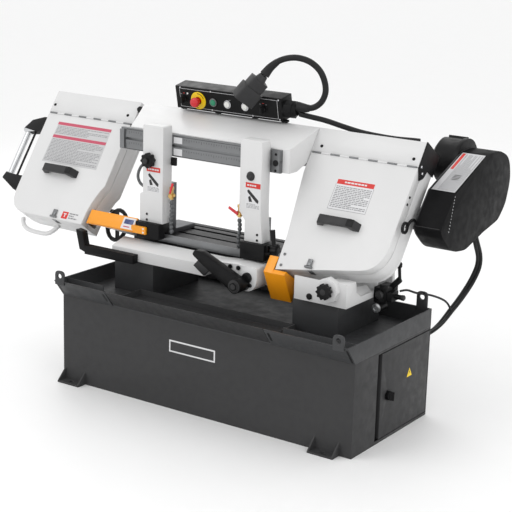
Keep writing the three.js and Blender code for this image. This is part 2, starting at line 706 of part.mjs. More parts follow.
function rightGuard() {
  const front = alongX([[-108, 478], [-104, 481], [-56, 384], [-61, 380]], 149, 225);
  const slope = alongX([[-108, 478], [-72, 523], [-69, 520], [-102, 477]], 149, 180);
  const brow = alongX([[-108, 478], [-96, 487], [-94, 483], [-102, 475]], 149, 225);
  const cheek = alongX([[-108, 478], [-95, 487], [-10, 430], [-61, 380]], 222, 225);
  return join(front, slope, brow, cheek);
}

function knobOnY(x, y, z, radius, height, lobes) {
  const knob = starKnob(radius, height, lobes).rotateX(Math.PI / 2).translate(x, y, z);
  return join(knob, bar([x, y - 2, z], [x, y - height - 6, z], radius * 0.45, 12));
}

add('left_guide_column', leftColumn(), 'white');
add('right_guide_column', rightColumn(), 'white');
add('left_guide_block', guideBlock(-397, -303, block(-402, -380, -58, -30, 520, 543)), 'black');
add('right_guide_block', guideBlock(24, 116, block(100, 124, -50, -6, 520, 543)), 'black');
add('left_blade_guard', leftGuard(), 'orange');
add('right_blade_guard', rightGuard(), 'orange');
add('left_guide_knob', knobOnY(-353, COLUMN.front - GAP, 754, 25, 20, 8), 'black');

function guideLever() {
  const x = 124 + GAP;
  return join(
    starKnob(18, 20, 8).rotateY(Math.PI / 2).translate(x + 4, -30, 530),
    bar([x, -30, 530], [x + 6, -30, 530], 9, 12),
    bar([x + 12, -30, 530], [x + 2, -30, 592], 6, 12, 9));
}

add('right_guide_lever', guideLever(), 'black');

// ---------------------------------------------------------------- motor and belt drive

const CASE_OUTLINE = [[178, 750], [395, 840], [475, 842, 20], [555, 812, 40], [574, 735, 30],
  [548, 658, 20], [500, 612, 20], [392, 590], [270, 556, 20], [178, 566, 40], [104, 628, 20], [93, 650]];

function beltCase() {
  const { back, face } = BELT_CASE;
  const inner = CASE_OUTLINE.map(([y, z, radius]) => {
    const shrinkTo = (value, centre) => centre + (value - centre) * 0.975;
    return [shrinkTo(y, 330), shrinkTo(z, 700), radius ?? 0];
  });
  return cut(
    alongX(CASE_OUTLINE, back, face, 6),
    alongX(inner, back - 1, face - SHEET, 6));
}

// Gearbox behind the drive wheel, carrying the back plate of the belt drive.
function gearbox() {
  const { back } = BELT_CASE;
  const housing = cut(
    alongZ([[288, 490, 14], [382, 490, 14], [382, 660, 14], [288, 660, 14]],
      -205, -COVER.depth - 12 - 2 * GAP),
    bar([WHEEL.right, WHEEL.v, -151], [WHEEL.right, WHEEL.v, -90], AXLE + GAP, 18));
  const plate = cut(alongX(CASE_OUTLINE, back - 4 - GAP, back - GAP, 6),
    bar([back - 10, MOTOR.y, MOTOR.z], [back + 10, MOTOR.y, MOTOR.z], 14, 20));
  return join(toWorld(housing), plate,
    bar([300, WORM.y, WORM.z], [back - 2, WORM.y, WORM.z], WORM.radius, 18),
    bar([back - 2, WORM.y, WORM.z], [back + 20, WORM.y, WORM.z], 11, 16));
}

function motor() {
  const { y, z, radius } = MOTOR;
  const right = BELT_CASE.back - 4 - 2 * GAP;
  const fins = [];
  for (let i = 0; i < 6; i += 1) {
    const angle = Math.PI * (0.95 + 0.19 * i);
    fins.push(block(474, right - 12, -1.5, 1.5, radius - 12, radius + 4)
      .rotateX(angle).translate(0, y, z));
  }
  return join(
    bar([470, y, z], [right, y, z], radius - 4, 28),
    bar([470, y, z], [456, y, z], radius - 4, 28, radius - 22),
    bar([right - 16, y, z], [right, y, z], radius, 28),
    bar([right - 2, y, z], [BELT_CASE.back + 20, y, z], 12, 16),
    block(474, 534, y + 60, y + 96, z - 34, z + 34),
    ...fins);
}

function pulley(at, radius, shaft) {
  const x = BELT_CASE.back + 34;
  const half = [[0, 0], [radius + 5, 0], [radius + 5, 3], [radius, 5], [radius, 19], [radius + 5, 21],
    [radius + 5, 24], [0, 24]];
  const profile = half.map(([r, h]) => new THREE.Vector2(r, h));
  const sheave = new THREE.LatheGeometry(profile, 22).rotateZ(-Math.PI / 2).translate(x, at.y, at.z);
  return join(sheave, bar([BELT_CASE.back + 20.4, at.y, at.z], [x + 1, at.y, at.z], shaft, 16));
}

const PULLEY = { motor: 32, worm: 54 };

function driveBelt() {
  const x = BELT_CASE.back + 40;
  const apart = new THREE.Vector2(MOTOR.y - WORM.y, MOTOR.z - WORM.z);
  const heading = apart.angle();
  const lean = Math.acos((PULLEY.worm - PULLEY.motor) / apart.length());
  const loop = (extra) => {
    const shape = new THREE.Shape();
    shape.absarc(WORM.y, WORM.z, PULLEY.worm + extra, heading + lean, heading - lean + 2 * Math.PI, false);
    shape.absarc(MOTOR.y, MOTOR.z, PULLEY.motor + extra, heading - lean, heading + lean, false);
    shape.closePath();
    return extrude(shape, 12, 10);
  };
  const ring = cut(loop(7.5), loop(1.5).scale(1, 1, 1.2).translate(0, 0, -1));
  const axes = new THREE.Matrix4().makeBasis(
    new THREE.Vector3(0, 1, 0), new THREE.Vector3(0, 0, 1), new THREE.Vector3(1, 0, 0));
  return ring.applyMatrix4(axes).translate(x, 0, 0);
}

add('belt_case', beltCase(), 'black');
add('gearbox', gearbox(), 'grey');
add('motor', motor(), 'black');
add('motor_pulley', pulley(MOTOR, PULLEY.motor, 11), 'steel');
add('worm_pulley', pulley(WORM, PULLEY.worm, 10.5), 'steel');
add('drive_belt', driveBelt(), 'rubber');

// ---------------------------------------------------------------- control box

const controls = new THREE.Group();
controls.rotation.x = BOX_TILT;
controls.position.set(0, 165, 899);
saw.add(controls);

const PANEL = { left: -401, right: 26, height: 78, depth: 62, row: 35, bore: 16 };
const CONTROLS = { powerSwitch: -367, stop: -308, start: -247, feed: -189, jog: -118, speed: -46 };

// Buttons stand on the front face, y = 0, and point to -y.
function button(x, radius, reach, capRadius = radius, capReach = 0) {
  const stem = bar([x, PANEL.bore - 8, PANEL.row], [x, -reach, PANEL.row], radius, 18);
  if (!capReach) {
    return stem;
  }
  const cap = bar([x, -reach, PANEL.row], [x, -reach - capReach, PANEL.row], capRadius, 24, capRadius * 0.8);
  return join(stem, cap);
}

function selector(x) {
  return join(
    bar([x, PANEL.bore - 8, PANEL.row], [x, -2, PANEL.row], 8, 16),
    bar([x, -GAP, PANEL.row], [x, -8, PANEL.row], 12, 18),
    block(x - 3.5, x + 3.5, -19, -7, PANEL.row - 11, PANEL.row + 11));
}

function controlBox() {
  const { left, right, height, depth } = PANEL;
  const feet = [left + 8, left + 150, left + 300, right - 12].map((x) =>
    block(x, x + 22, 8, 22, -6, 1));
  const bores = Object.entries(CONTROLS).map(([name, x]) => {
    const radius = { stop: 11, powerSwitch: 8, speed: 8 }[name] ?? 10;
    return bar([x, -5, PANEL.row], [x, PANEL.bore, PANEL.row], radius + 0.5, 18);
  });
  const box = alongX([[0, 0], [depth, 0], [depth, height, 4], [0, height, 4]], left, right);
  return join(
    cut(box, ...bores),
    bar([right - 1, 28, 36], [right + 32, 28, 36], 30, 8),
    bar([right + 31, 28, 36], [right + 44, 28, 36], 26, 16, 18),
    ...feet);
}

add('control_box', controlBox(), 'black', controls);
add('power_switch', selector(CONTROLS.powerSwitch), 'black', controls);
add('stop_button', button(CONTROLS.stop, 11, 18, 18, 14), 'red', controls);
add('start_button', button(CONTROLS.start, 10, 7), 'green', controls);
add('feed_button', button(CONTROLS.feed, 10, 7), 'cap', controls);
add('jog_button', button(CONTROLS.jog, 10, 7), 'cap', controls);
add('speed_knob', selector(CONTROLS.speed), 'black', controls);

// ---------------------------------------------------------------- cables

const LEAD_ROUTE = [[71.3, 185, 951], [98, 187, 949], [126, 193, 955], [149, 199, 975],
  [161, 200, 1007], [158, 195, 1043], [142, 188, 1076], [112, 178, 1100], [76, 166, 1110], [42, 154, 1107],
  [12, 142, 1094], [-8, 132, 1074], [-22.6, 122.7, 1051.3]];

const PLUG_AXIS = { from: [-24.2, 121.6, 1049], to: [-86, 90, 965] };

function powerPlug() {
  const from = new THREE.Vector3(...PLUG_AXIS.from);
  const to = new THREE.Vector3(...PLUG_AXIS.to);
  const length = from.distanceTo(to);
  const body = join(
    bar([0, 0, 0], [0, 0, 30], 14, 16, 22),
    alongZ([[-30, -21, 8], [30, -21, 8], [30, 21, 8], [-30, 21, 8]], 20, length - 52, 3),
    alongZ([[-37, -25, 8], [37, -25, 8], [37, 25, 8], [-37, 25, 8]], length - 54, length, 3));
  const turn = new THREE.Quaternion().setFromUnitVectors(
    new THREE.Vector3(0, 0, 1), to.clone().sub(from).normalize());
  return body.applyQuaternion(turn).translate(from.x, from.y, from.z);
}

add('power_lead', tube(LEAD_ROUTE, 10, 34), 'rubber');
add('power_plug', powerPlug(), 'black');

const CONDUIT_ROUTE = [[74, 187, 928], [98, 196, 923], [150, 224, 911], [205, 252, 893], [255, 278, 878],
  [310, 305, 868], [360, 330, 862], [400, 352, 860], [422, 366, 858]];
add('control_conduit', tube(CONDUIT_ROUTE, 9, 20), 'rubber');

// Supply cables in one sleeve, slack enough to follow the head: belt case to the cabinet's back.
const SUPPLY_ROUTE = [[600, 430, 594], [600, 433, 572], [600, 458, 530], [599, 484, 488], [595, 495, 455],
  [588, 494, 425], [576, 478, 385], [565, 437, 344], [558, 388, 313], [549, 338, 280], [538, 296, 260],
  [526, 266, 251], [523, 238, 250]];
add('supply_cable', tube(SUPPLY_ROUTE, 12, 26), 'rubber');

export default saw;
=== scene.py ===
"""Looks of the band saw: materials, labels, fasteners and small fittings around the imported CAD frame."""

import math
import random

import bmesh
import bpy
from mathutils import Matrix, Vector


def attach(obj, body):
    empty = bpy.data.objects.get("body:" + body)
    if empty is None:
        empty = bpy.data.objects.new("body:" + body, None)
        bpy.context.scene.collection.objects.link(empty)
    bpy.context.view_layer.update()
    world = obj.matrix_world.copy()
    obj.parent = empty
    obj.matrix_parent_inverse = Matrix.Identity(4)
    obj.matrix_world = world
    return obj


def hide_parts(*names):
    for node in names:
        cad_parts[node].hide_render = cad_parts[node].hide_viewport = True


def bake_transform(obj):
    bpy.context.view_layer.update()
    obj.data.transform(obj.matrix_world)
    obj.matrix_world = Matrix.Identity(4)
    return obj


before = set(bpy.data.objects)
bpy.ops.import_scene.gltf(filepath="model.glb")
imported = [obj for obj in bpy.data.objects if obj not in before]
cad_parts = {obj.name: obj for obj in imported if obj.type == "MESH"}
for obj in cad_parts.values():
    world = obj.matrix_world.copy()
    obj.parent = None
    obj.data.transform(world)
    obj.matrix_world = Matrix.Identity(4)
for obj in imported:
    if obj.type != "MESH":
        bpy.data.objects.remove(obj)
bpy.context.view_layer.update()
MM = 0.001
rng = random.Random(7)
CREASE = math.radians(38)


# ---------------------------------------------------------------- local frames


class Plane:
    """A flat frame: point(u, v, out) in millimetres gives a place in the row frame, in metres."""

    def __init__(self, origin, along, up):
        self.origin = Vector(origin) * MM
        self.u = Vector(along).normalized()
        self.v = Vector(up).normalized()
        self.out = self.u.cross(self.v)

    def point(self, u, v, out=0.0):
        return self.origin + (self.u * u + self.v * v + self.out * out) * MM

    def matrix(self, u, v, out=0.0):
        turn = Matrix((self.u, self.v, self.out)).transposed().to_4x4()
        return Matrix.Translation(self.point(u, v, out)) @ turn


TILT = math.radians(55)
FACE = 357.6
LIDS = Plane(
    (0, -FACE * math.sin(TILT), FACE * math.cos(TILT)),
    (1, 0, 0),
    (0, math.cos(TILT), math.sin(TILT)),
)
BOX_TILT = math.radians(12)
PANEL = Plane((0, 165, 899), (1, 0, 0), (0, -math.sin(BOX_TILT), math.cos(BOX_TILT)))
CASE_SLOPE = Plane((560, 178, 750), (1, 0, 0), (0, 217, 90))
COLUMN_FRONT = Plane((0, -45, 0), (1, 0, 0), (0, 0, 1))
RAIL_FRONT = Plane((0, 3, 0), (1, 0, 0), (0, 0, 1))
BED_FRONT = Plane((0, -105, 0), (1, 0, 0), (0, 0, 1))
RIGHT_END = Plane((565, 0, 0), (0, 1, 0), (0, 0, 1))
CABINET_FRONT = Plane((0, -235, 0), (1, 0, 0), (0, 0, 1))


# ---------------------------------------------------------------- materials


def new_material(name):
    material = bpy.data.materials.new(name)
    material.use_nodes = True
    nodes = material.node_tree.nodes
    return material, nodes, material.node_tree.links, nodes["Principled BSDF"]


def noise(nodes, links, scale, detail=4.0, stretch=(1, 1, 1)):
    """A noise texture in the piece's own coordinates."""
    place = nodes.new("ShaderNodeTexCoord")
    mapping = nodes.new("ShaderNodeMapping")
    mapping.inputs["Scale"].default_value = stretch
    texture = nodes.new("ShaderNodeTexNoise")
    texture.inputs["Scale"].default_value = scale
    texture.inputs["Detail"].default_value = detail
    links.new(place.outputs["Object"], mapping.inputs["Vector"])
    links.new(mapping.outputs["Vector"], texture.inputs["Vector"])
    return texture.outputs["Fac"]


def spread(nodes, links, source, low, high):
    """Maps a noise value onto a range."""
    remap = nodes.new("ShaderNodeMapRange")
    remap.inputs["From Min"].default_value = 0.3
    remap.inputs["From Max"].default_value = 0.7
    remap.inputs["To Min"].default_value = low
    remap.inputs["To Max"].default_value = high
    links.new(source, remap.inputs["Value"])
    return remap.outputs["Result"]


def tint(nodes, links, factor, dark, light):
    mix = nodes.new("ShaderNodeMix")
    mix.data_type = "RGBA"
    mix.inputs["A"].default_value = (*dark, 1)
    mix.inputs["B"].default_value = (*light, 1)
    links.new(factor, mix.inputs["Factor"])
    return mix.outputs["Result"]


def surface(name, colour, roughness, metallic=0.0, shade=0.06, grain=900, bump=0.05, coat=0.0,
            stretch=(1, 1, 1), gloss=0.5):
    """Paint, plastic or metal: broad soiling, fine grain, and roughness that wanders."""
    material, nodes, links, shader = new_material(name)
    broad = spread(nodes, links, noise(nodes, links, 6, 6), 0, 1)
    dark = [c * (1 - shade) for c in colour]
    light = [min(1, c * (1 + shade)) for c in colour]
    links.new(tint(nodes, links, broad, dark, light), shader.inputs["Base Color"])
    fine = noise(nodes, links, grain, 3, stretch)
    wander = noise(nodes, links, 38, 5, stretch)
    links.new(
        spread(nodes, links, wander, roughness * 0.82, min(1, roughness * 1.2)),
        shader.inputs["Roughness"],
    )
    relief = nodes.new("ShaderNodeBump")
    relief.inputs["Strength"].default_value = bump
    relief.inputs["Distance"].default_value = 0.0004
    links.new(fine, relief.inputs["Height"])
    links.new(relief.outputs["Normal"], shader.inputs["Normal"])
    shader.inputs["Metallic"].default_value = metallic
    shader.inputs["Specular IOR Level"].default_value = gloss
    shader.inputs["Coat Weight"].default_value = coat
    shader.inputs["Coat Roughness"].default_value = 0.12
    return material


MATERIALS = {
    "white": surface("white_paint", (0.66, 0.66, 0.66), 0.42, shade=0.015, grain=1500, bump=0.05, coat=0.15),
    "grey": surface("grey_paint", (0.036, 0.036, 0.037), 0.55, shade=0.03, grain=1300, bump=0.08, gloss=0.3),
    "lip": surface("lip_paint", (0.040, 0.041, 0.043), 0.5, shade=0.03, grain=1300, bump=0.08, gloss=0.35),
    "black": surface("black_paint", (0.004, 0.004, 0.0044), 0.42, shade=0.1, grain=1200, bump=0.1,
                     gloss=0.18),
    "case": surface("case_paint", (0.005, 0.005, 0.0055), 0.5, shade=0.06, grain=1500, bump=0.1, gloss=0.1),
    "orange": surface("orange_paint", (0.87, 0.32, 0.004), 0.38, shade=0.04, grain=1400, bump=0.06, coat=0.2),
    "iron": surface("oiled_iron", (0.014, 0.014, 0.015), 0.42, 0.15, 0.2, 500, 0.12, stretch=(1, 9, 1),
                    gloss=0.2),
    "jaw": surface("jaw_iron", (0.11, 0.113, 0.12), 0.4, 0.6, 0.15, 500, 0.12, stretch=(1, 9, 1)),
    "steel": surface("ground_steel", (0.21, 0.215, 0.22), 0.36, 0.85, 0.1, 420, 0.12, stretch=(1, 18, 18)),
    "bright": surface("bright_steel", (0.62, 0.62, 0.64), 0.24, 1.0, 0.06, 500, 0.06, stretch=(12, 1, 12)),
    "aluminium": surface("aluminium", (0.60, 0.61, 0.62), 0.3, 0.9, 0.05, 700, 0.08, stretch=(14, 1, 1)),
    "plastic": surface("black_plastic", (0.005, 0.005, 0.0055), 0.42, shade=0.12, grain=1800, bump=0.14,
                       gloss=0.22),
    "dark_grey_plastic": surface("dark_grey_plastic", (0.022, 0.022, 0.023), 0.5, shade=0.12, grain=1800,
                                 bump=0.14,
                                 gloss=0.4),
    "rubber": surface("rubber", (0.006, 0.006, 0.0065), 0.55, shade=0.2, grain=900, bump=0.15, gloss=0.35),
    "red": surface("red_plastic", (0.62, 0.006, 0.014), 0.28, shade=0.05, grain=1500, bump=0.04, coat=0.4),
    "green": surface("green_plastic", (0.012, 0.24, 0.12), 0.32, shade=0.06, grain=1500, bump=0.04, coat=0.3),
    "cap": surface("white_plastic", (0.80, 0.80, 0.77), 0.3, shade=0.03, grain=1500, bump=0.04, coat=0.3),
    "yellow": surface("yellow_plastic", (0.86, 0.60, 0.004), 0.4, shade=0.04, grain=1500, bump=0.05),
    "brass": surface("brass", (0.62, 0.42, 0.16), 0.3, 1.0, 0.1, 700, 0.06),
    "label": surface("label_white", (0.68, 0.68, 0.69), 0.4, shade=0.02, grain=1800, bump=0.03),
    "label_grey": surface("label_grey", (0.52, 0.52, 0.525), 0.42, shade=0.02, grain=1800, bump=0.03),
    "silver_label": surface("silver_label", (0.55, 0.55, 0.56), 0.4, 0.2, 0.04, 1500, 0.05),
    "ink": surface("ink_grey", (0.24, 0.24, 0.25), 0.5, shade=0.05, grain=1800, bump=0.02),
    "dark_ink": surface("ink_black", (0.012, 0.012, 0.013), 0.5, shade=0.05, grain=1800, bump=0.02),
    "pink_ink": surface("ink_rose", (0.50, 0.07, 0.12), 0.5, shade=0.05, grain=1800, bump=0.02),
    "red_ink": surface("ink_red", (0.60, 0.02, 0.012), 0.45, shade=0.05, grain=1800, bump=0.02),
    "display": surface("display", (0.02, 0.04, 0.16), 0.25, shade=0.1, grain=1800, bump=0.02, coat=0.5),
    "hose": surface("grey_hose", (0.10, 0.105, 0.11), 0.4, shade=0.1, grain=900, bump=0.1),
}

NODE_FINISH = {
    "grey": ["cabinet", "cabinet_door", "swarf_pan"],
    "lip": ["chip_tray", "left_pedestal", "right_pedestal", "gearbox"],
    "white": [
        "bed", "swivel_segment", "pivot_base", "left_cover", "right_cover", "left_lid", "right_lid",
        "head_frame", "left_guide_column", "right_guide_column",
    ],
    "iron": ["table", "idler_wheel", "drive_wheel", "motor_pulley", "worm_pulley"],
    "jaw": ["moving_jaw", "fixed_jaw"],
    "steel": ["guide_rail", "saw_blade", "left_latch", "right_latch", "feed_rod"],
    "aluminium": ["lift_handle"],
    "black": [
        "vise_screw", "clamp_lever", "head_stop", "feed_valve", "feed_cylinder", "left_guide_block",
        "right_guide_block", "motor", "control_box",
    ],
    "case": ["belt_case"],
    "plastic": [
        "door_latch", "boss_knob", "tension_handle", "left_guide_knob", "right_guide_lever",
        "power_switch", "speed_knob",
    ],
    "dark_grey_plastic": ["left_lid_handle", "right_lid_handle", "power_plug"],
    "orange": ["left_blade_guard", "right_blade_guard"],
    "red": ["stop_button"],
    "green": ["start_button"],
    "cap": ["feed_button", "jog_button"],
    "rubber": ["power_lead", "control_conduit", "drive_belt", "supply_cable"],
}

EDGE_RADIUS = {
    "bed": 4, "swivel_segment": 4, "pivot_base": 5, "left_lid": 3.5, "right_lid": 3.5, "left_cover": 1.2,
    "right_cover": 1.2, "head_frame": 4, "left_guide_column": 3, "right_guide_column": 3, "clamp_lever": 6,
    "stop_button": 4, "power_plug": 3, "left_lid_handle": 4, "right_lid_handle": 4, "motor": 2,
    "belt_case": 2.0, "left_guide_block": 2, "right_guide_block": 2, "gearbox": 3, "vise_screw": 2,
}


def finish_node(node, finish, radius):
    """Gives a CAD node its material and small rounded edges."""
    node.data.materials.clear()
    node.data.materials.append(MATERIALS[finish])
    custom = node.data.attributes.get("custom_normal")
    if custom:
        node.data.attributes.remove(custom)
    node.data.shade_smooth()
    weld = node.modifiers.new("weld", "WELD")
    weld.merge_threshold = 0.00002
    bevel = node.modifiers.new("edges", "BEVEL")
    bevel.width = radius * MM
    bevel.segments = 2
    bevel.limit_method = "ANGLE"
    bevel.angle_limit = CREASE
    bevel.use_clamp_overlap = True
    split = node.modifiers.new("creases", "EDGE_SPLIT")
    split.split_angle = CREASE


for finish, names in NODE_FINISH.items():
    for name in names:
        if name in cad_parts:
            finish_node(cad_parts[name], finish, EDGE_RADIUS.get(name, 0.8))


# ---------------------------------------------------------------- piece builders


def piece(name, mesh_builder, finish, body, smooth=True, bevel=0.0):
    """A new mesh piece from a bmesh builder, riding on a CAD body."""
    bm = bmesh.new()
    mesh_builder(bm)
    bmesh.ops.recalc_face_normals(bm, faces=bm.faces)
    mesh = bpy.data.meshes.new(name)
    bm.to_mesh(mesh)
    bm.free()
    obj = bpy.data.objects.new(name, mesh)
    bpy.context.scene.collection.objects.link(obj)
    mesh.materials.append(MATERIALS[finish])
    if smooth:
        mesh.shade_smooth()
    if bevel:
        modifier = obj.modifiers.new("edges", "BEVEL")
        modifier.width = bevel * MM
        modifier.segments = 2
        modifier.limit_method = "ANGLE"
        modifier.angle_limit = CREASE
    split = obj.modifiers.new("creases", "EDGE_SPLIT")
    split.split_angle = CREASE
    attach(obj, body)
    return obj


def add_prism(bm, plane, outline, low, high):
    """A flat prism: an outline of (u, v) points from out = low to out = high."""
    bottom = [bm.verts.new(plane.point(u, v, low)) for u, v in outline]
    top = [bm.verts.new(plane.point(u, v, high)) for u, v in outline]
    bm.faces.new(bottom)
    bm.faces.new(top)
    for i in range(len(outline)):
        j = (i + 1) % len(outline)
        bm.faces.new((bottom[i], bottom[j], top[j], top[i]))


def rectangle(u0, u1, v0, v1):
    return [(u0, v0), (u1, v0), (u1, v1), (u0, v1)]


def ring_points(u, v, radius, count, phase=0.0):
    angles = [phase + 2 * math.pi * i / count for i in range(count)]
    return [(u + radius * math.cos(a), v + radius * math.sin(a)) for a in angles]


def plate(name, plane, outline, low, high, finish, body, bevel=0.0):
    return piece(name, lambda bm: add_prism(bm, plane, outline, low, high), finish, body, bevel=bevel)


def plates(name, plane, outlines, low, high, finish, body, bevel=0.0):
    def build(bm):
        for outline in outlines:
            add_prism(bm, plane, outline, low, high)

    return piece(name, build, finish, body, bevel=bevel)


def lathe(bm, plane, u, v, profile, sides=24):
    """Turned solid about the plane's normal: profile is (radius, out) from the axis and back to it."""
    rings = []
    for radius, out in profile:
        if radius == 0:
            rings.append([bm.verts.new(plane.point(u, v, out))])
        else:
            rings.append([bm.verts.new(plane.point(a, b, out)) for a, b in ring_points(u, v, radius, sides)])
    for first, second in zip(rings, rings[1:]):
        for i in range(sides):
            j = (i + 1) % sides
            if len(first) == 1:
                bm.faces.new((first[0], second[i], second[j]))
            elif len(second) == 1:
                bm.faces.new((first[i], first[j], second[0]))
            else:
                bm.faces.new((first[i], first[j], second[j], second[i]))


def turned(name, plane, places, profile, finish, body, sides=24):
    def build(bm):
        for u, v in places:
            lathe(bm, plane, u, v, profile, sides)

    return piece(name, build, finish, body)


def annulus(name, plane, u, v, inner, outer, low, high, finish, body, sides=40):
    profile = [(inner, low), (outer, low), (outer, high - 0.6), (outer - 0.6, high), (inner, high),
               (inner, low)]
    return turned(name, plane, [(u, v)], profile, finish, body, sides)


def sweep(bm, points, radius, sides=10, radii=None):
    """A round tube along a smooth curve through the points (metres)."""
    path = smooth_path([Vector(p) for p in points])
    normal = None
    rings = []
    for i, here in enumerate(path):
        tangent = (path[min(i + 1, len(path) - 1)] - path[max(i - 1, 0)]).normalized()
        if normal is None:
            normal = tangent.orthogonal().normalized()
        normal = (normal - tangent * normal.dot(tangent)).normalized()
        side = tangent.cross(normal)
        size = radius if radii is None else radii(i / (len(path) - 1))
        rings.append([
            bm.verts.new(here + (normal * math.cos(a) + side * math.sin(a)) * size)
            for a in (2 * math.pi * k / sides for k in range(sides))
        ])
    for first, second in zip(rings, rings[1:]):
        for i in range(sides):
            j = (i + 1) % sides
            bm.faces.new((first[i], first[j], second[j], second[i]))
    bm.faces.new(rings[0])
    bm.faces.new(rings[-1])


def smooth_path(points, steps=8):
    """A Catmull-Rom curve through the points."""
    padded = [points[0] * 2 - points[1], *points, points[-1] * 2 - points[-2]]
    path = []
    for a, b, c, d in zip(padded, padded[1:], padded[2:], padded[3:]):
        for k in range(steps):
            t = k / steps
            path.append(
                0.5 * ((2 * b) + (c - a) * t + (2 * a - 5 * b + 4 * c - d) * t**2
                       + (3 * b - a - 3 * c + d) * t**3)
            )
    path.append(points[-1])
    return path


def hose(name, points, radius, finish, body, sides=10):
    return piece(name, lambda bm: sweep(bm, [Vector(p) * MM for p in points], radius * MM, sides), finish,
                 body)


BUTTON_HEAD = [(0, 0.0), (5.2, 0.0), (5.2, 1.2), (4.2, 2.8), (2.6, 3.4), (2.4, 1.6), (0, 1.6)]
CAP_SCREW = [(0, 0.0), (4.4, 0.0), (4.4, 3.6), (3.9, 4.2), (2.3, 4.2), (2.2, 1.8), (0, 1.8)]


def screws(name, plane, places, body, finish="plastic", out=0.0, size=1.0, profile=BUTTON_HEAD, sides=16):
    shape = [(r * size, out + h * size) for r, h in profile]
    return turned(name, plane, places, shape, finish, body, sides)


def text_rows(name, plane, corners, rows, finish, body, out=0.5, fill=0.5, words=(4, 14)):
    """Rows of word-like bars inside a quadrilateral, whose corners run clockwise from the top left."""
    (tl, tr, br, bl) = [Vector(c) for c in corners]
    outlines = []
    for row in range(rows):
        top = (row + 0.5 - fill / 2) / rows
        bottom = (row + 0.5 + fill / 2) / rows
        across = 0.0
        width = (tr - tl).length
        end = 1.0 if rng.random() > 0.25 else rng.uniform(0.55, 0.95)
        while across < end:
            step = rng.uniform(*words) / width
            right = min(across + step, end)
            quad = []
            for a, b in ((across, bottom), (right, bottom), (right, top), (across, top)):
                left_edge = tl.lerp(bl, b)
                right_edge = tr.lerp(br, b)
                quad.append(tuple(left_edge.lerp(right_edge, a)))
            outlines.append(quad)
            across = right + 2.2 / width
    return plates(name, plane, outlines, out, out + 0.12, finish, body)


# ---------------------------------------------------------------- wheel covers


def piano_hinge(side, x0, x1, body):
    """Knuckles along the top of a lid, every other one fixed to the lid."""
    count = 11
    step = (x1 - x0) / count
    for owner, first in (("head", 0), (body, 1)):
        outlines = []
        for i in range(first, count, 2):
            outlines.append((x0 + i * step + 0.6, x0 + (i + 1) * step - 0.6))

        def build(bm, spans=outlines):
            for a, b in spans:
                sweep_straight(bm, LIDS.point(a, 753.4, 0.4), LIDS.point(b, 753.4, 0.4), 2.9 * MM, 10)

        finish = "white" if owner == body else "steel"
        piece(f"{side}_hinge_{'knuckles' if owner == body else 'leaf'}", build, finish, owner)


def sweep_straight(bm, start, end, radius, sides):
    axis = (end - start).normalized()
    normal = axis.orthogonal().normalized()
    side = axis.cross(normal)
    rings = []
    for centre in (start, end):
        rings.append([
            bm.verts.new(centre + (normal * math.cos(a) + side * math.sin(a)) * radius)
            for a in (2 * math.pi * k / sides for k in range(sides))
        ])
    for i in range(sides):
        j = (i + 1) % sides
        bm.faces.new((rings[0][i], rings[0][j], rings[1][j], rings[1][i]))
    bm.faces.new(rings[0])
    bm.faces.new(rings[1])


def left_cover_details():
    piano_hinge("left", -955, -582, "left_door")
    screws("left_strip_screws", LIDS, [(-948, 785), (-612, 784)], "head")
    corners = [(-897, 722), (-655, 722), (-650, 565), (-901, 565)]
    plate("left_chart", LIDS, corners[::-1], 0.1, 0.5, "label_grey", "left_door")
    for i, v in enumerate((722, 671)):
        plate(f"left_chart_bar_{i}", LIDS, rectangle(-898, -654, v - 11, v), 0.5, 0.7, "pink_ink",
              "left_door")
    text_rows("left_chart_upper", LIDS, [(-893, 708), (-658, 708), (-658, 676), (-894, 676)], 6, "ink",
              "left_door", fill=0.45)
    text_rows("left_chart_lower", LIDS, [(-894, 657), (-658, 657), (-656, 570), (-896, 570)], 16, "ink",
              "left_door", fill=0.45)
    plate("left_mark", LIDS, rectangle(-714, -688, 370, 396), 0.1, 0.35, "red_ink", "left_door")
    plates("left_mark_symbol", LIDS, [rectangle(-708, -694, 387, 390), rectangle(-703, -699, 376, 387)],
           0.35, 0.5,
           "label", "left_door")
    text_rows("left_mark_text", LIDS, [(-683, 396), (-645, 396), (-645, 371), (-683, 371)], 3, "ink",
              "left_door")
    handle_details("left", -868, 535, "left_door")
    latch_details("left", -745, 370, "head", "left_toggle")


def handle_details(side, x, v, body):
    """Recessed end pad and two fixing bosses of a pull handle."""
    plate(f"{side}_handle_pad", LIDS,
          [(x + 116, v - 12), (x + 141, v - 12), (x + 141, v + 12), (x + 116, v + 12)],
          33.4, 35.2, "plastic", body, bevel=1.0)
    screws(f"{side}_handle_screws", LIDS, [(x + 12, v), (x + 138, v)], body, "plastic", 0.4, 1.0, CAP_SCREW)


def latch_details(side, x, v, keeper_body, lever_body):
    """Toggle latch: loop and hooked keeper below the lid's lower edge."""
    plate(f"{side}_latch_pad", LIDS, rectangle(x - 6, x + 6, v + 4, v + 16), 6.0, 7.2, "steel", lever_body,
          bevel=0.6)
    under = Plane(tuple(LIDS.point(x, v - 9, -18) / MM), (1, 0, 0), tuple(-LIDS.out))
    plate(f"{side}_latch_keeper", under, rectangle(-10, 10, -12, 22), 0.2, 3.2, "steel", keeper_body,
          bevel=0.8)
    turned(f"{side}_latch_stud", under, [(0, 8)], [(0, 0), (7, 0), (7, 9), (5, 12), (0, 12)], "plastic",
           keeper_body)


